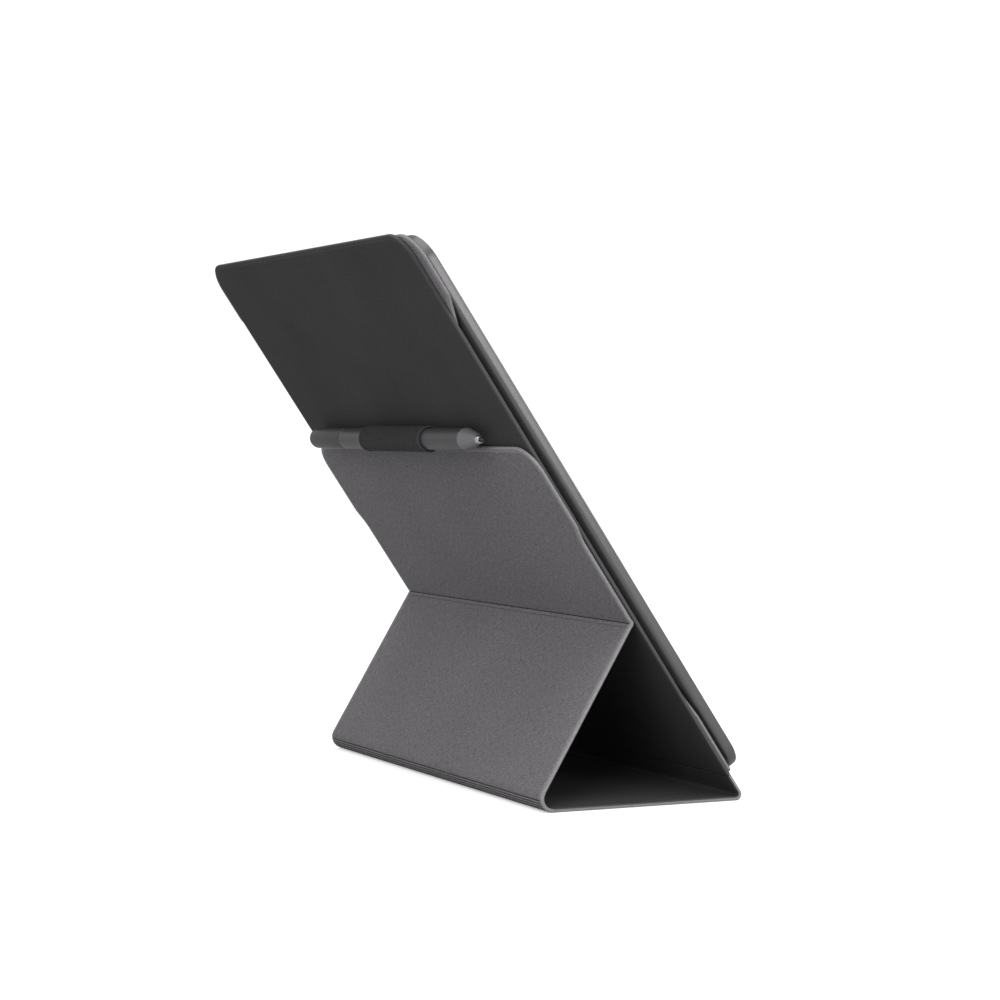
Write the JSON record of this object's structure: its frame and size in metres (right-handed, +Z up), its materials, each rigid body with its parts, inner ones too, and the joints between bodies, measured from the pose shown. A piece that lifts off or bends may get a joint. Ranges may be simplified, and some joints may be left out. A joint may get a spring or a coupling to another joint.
{
  "type": "pen tablet with folding case",
  "caption": "Slim paper-display pen tablet held upright by a folded fabric case that makes a triangular stand, with a stylus in a loop on the stand's flap.",
  "frame": {"origin": "centre of the base panel's underside, on the table", "axes": "+Z up, +Y along the folds, +X towards the side that the display faces"},
  "size_m": [0.1394, 0.21, 0.2022],
  "materials": {
    "case_cloth": "tightly woven heather grey cloth",
    "case_lining": "fine dark microfibre",
    "case_board": "stiff fibre board",
    "loop_cloth": "stretch webbing",
    "magnet": "nickel plated",
    "housing_metal": "bead blasted, anodised dark grey",
    "frame_plastic": "moulded",
    "cover_glass": "fine matt etched",
    "seal": "foam tape",
    "mask": "printed border",
    "light_guide": "clear",
    "paper_screen": "paper-like display",
    "digitizer": "printed sensor sheet",
    "ribbon": "polyimide",
    "cell": "foil pouch",
    "circuit_board": "solder mask",
    "steel": "stamped",
    "foot_rubber": "matt",
    "pen_shell": "soft touch coated",
    "pen_tip": "satin",
    "pen_metal": "satin",
    "pen_nib": "hard plastic",
    "copper": "enamelled wire on a ferrite rod"
  },
  "bodies": {
    "base": {"base_fabric": "case_cloth", "base_board": "case_board", "base_lining": "case_lining", "hinge_base": "case_cloth"},
    "spine": {"spine_fabric": "case_cloth", "spine_board": "case_board", "spine_lining": "case_lining", "hinge_spine_low": "case_cloth"},
    "back": {"back_fabric": "case_cloth", "back_board": "case_board", "back_lining": "case_lining", "hinge_spine_high": "case_cloth", "plate_fabric": "case_cloth", "plate_board": "case_board", "plate_lining": "case_lining", "plate_magnets": "magnet", "flap_keepers": "steel"},
    "strut": {"strut_fabric": "case_cloth", "strut_board": "case_board", "strut_lining": "case_lining"},
    "flap": {"flap_fabric": "case_cloth", "flap_board": "case_board", "flap_lining": "case_lining", "flap_magnets": "magnet", "hinge_flap": "case_cloth", "pen_loop": "loop_cloth"},
    "tablet": {"back_housing": "housing_metal", "mid_frame": "frame_plastic", "cover_glass": "cover_glass", "glass_seal": "seal", "bezel_mask": "mask", "light_guide": "light_guide", "led_bar": "paper_screen", "epaper_panel": "paper_screen", "digitizer_sheet": "digitizer", "display_flex": "ribbon", "battery_cells": "cell", "main_board": "circuit_board", "board_shields": "steel", "usb_c_port": "steel", "power_switch": "steel", "housing_screws": "steel", "tablet_magnets": "magnet", "rubber_feet": "foot_rubber"},
    "power_button": {"power_button": "housing_metal"},
    "pen": {"pen_barrel": "pen_shell", "pen_cone": "pen_tip", "pen_ferrule": "pen_metal", "pen_coil": "copper", "pen_board": "circuit_board"},
    "nib": {"pen_nib": "pen_nib"},
    "end_cap": {"pen_end_cap": "pen_shell"},
    "side_button": {"pen_side_button": "pen_shell"}
  },
  "joints": [
    {"name": "spine_fold", "type": "hinge", "parent": "base", "child": "spine", "pos_m": [0.03983, 0, 0.0022], "axis": [0, 1, 0], "range_deg": [0, 35], "deforming": ["hinge_spine_low"]},
    {"name": "back_fold", "type": "hinge", "parent": "spine", "child": "back", "pos_m": [0.03722, 0, 0.0099], "axis": [0, 1, 0], "range_deg": [0, 60], "deforming": ["hinge_spine_high"]},
    {"name": "tablet_lift", "type": "slide", "parent": "back", "child": "tablet", "axis": [-0.8251, 0, -0.565], "range_m": [-0.05, 0]},
    {"name": "power_press", "type": "slide", "parent": "tablet", "child": "power_button", "axis": [0, -1, 0], "range_m": [0, 0.00035], "stiffness_N_per_m": 900},
    {"name": "strut_fold", "type": "hinge", "parent": "base", "child": "strut", "pos_m": [-0.03522, 0, 0.005], "axis": [0, -1, 0], "range_deg": [0, 75], "deforming": ["hinge_base"]},
    {"name": "flap_fold", "type": "hinge", "parent": "strut", "child": "flap", "pos_m": [-0.00489, 0, 0.06591], "axis": [0, 1, 0], "range_deg": [-95, 0], "deforming": ["hinge_flap"]},
    {"name": "pen_slide", "type": "slide", "parent": "flap", "child": "pen", "axis": [0, -1, 0], "range_m": [0, 0.12]},
    {"name": "nib_press", "type": "slide", "parent": "pen", "child": "nib", "axis": [0, 1, 0], "range_m": [0, 0.0005], "stiffness_N_per_m": 1500},
    {"name": "end_cap_press", "type": "slide", "parent": "pen", "child": "end_cap", "axis": [0, -1, 0], "range_m": [0, 0.0005], "stiffness_N_per_m": 1500},
    {"name": "side_button_press", "type": "slide", "parent": "pen", "child": "side_button", "axis": [-0.8251, 0, -0.565], "range_m": [0, 0.0003], "stiffness_N_per_m": 900}
  ]
}
